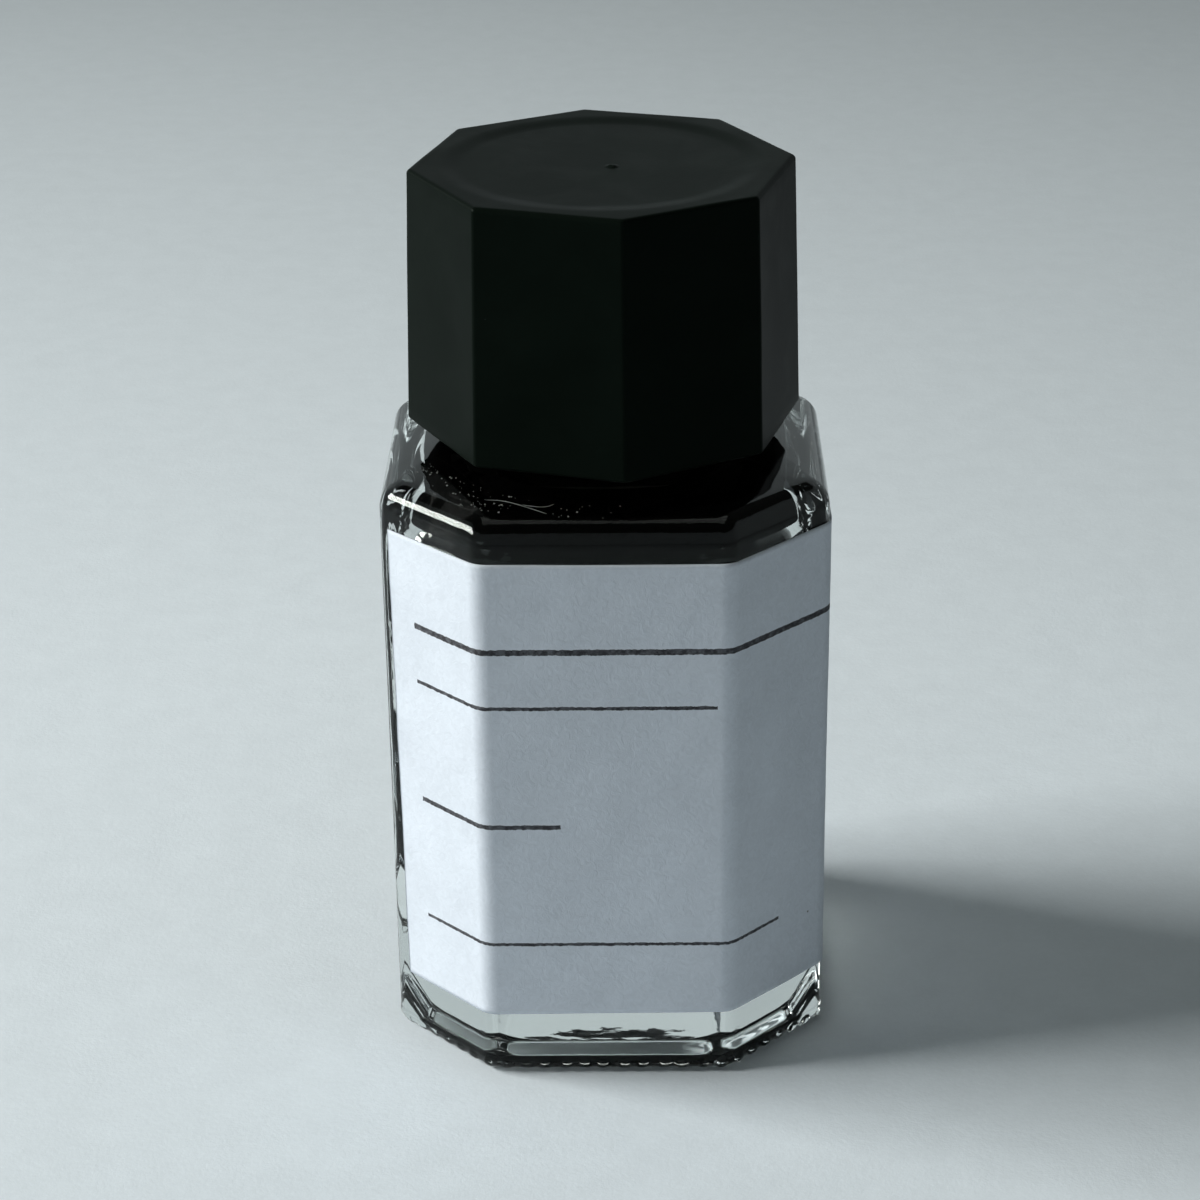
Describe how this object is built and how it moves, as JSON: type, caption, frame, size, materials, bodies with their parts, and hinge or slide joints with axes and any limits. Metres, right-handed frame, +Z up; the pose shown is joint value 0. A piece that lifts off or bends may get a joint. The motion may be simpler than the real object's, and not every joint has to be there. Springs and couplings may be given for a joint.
{
  "type": "ink bottle",
  "caption": "Small eight-sided clear glass ink bottle with black ink, a blank wrap-round paper label and an eight-sided black screw cap.",
  "frame": {"origin": "middle of the foot, on the surface that the bottle stands on", "axes": "+Z up along the neck, -Y out of the front of the label, +X to the right of someone who looks at the front"},
  "size_m": [0.0301, 0.0302, 0.0612],
  "materials": {
    "clear_glass": "moulded clear soda-lime glass, slightly wavy",
    "black_ink": "opaque black liquid",
    "label_paper": "matt uncoated paper",
    "cap_plastic": "satin black moulded plastic",
    "insert_plastic": "dull black moulded plastic",
    "liner_foam": "fine closed-cell foam",
    "liner_film": "smooth film"
  },
  "bodies": {
    "bottle": {"bottle_glass": "clear_glass", "ink": "black_ink", "wrap_label": "label_paper"},
    "liner": {"liner_core": "liner_foam", "liner_films": "liner_film"},
    "cap": {"cap_shell": "cap_plastic", "cap_insert": "insert_plastic"}
  },
  "joints": [
    {"name": "cap_lift", "type": "slide", "parent": "bottle", "child": "liner", "axis": [0, 0, 1], "range_m": [0, 0.0128]},
    {"name": "cap_turn", "type": "hinge", "parent": "liner", "child": "cap", "pos_m": [0, 0, 0.05], "axis": [0, 0, 1], "range_deg": [0, 1440]}
  ],
  "couplings": [
    {"joint": "cap_lift", "follows": "cap_turn", "m_per_rad": 0.00050532}
  ]
}
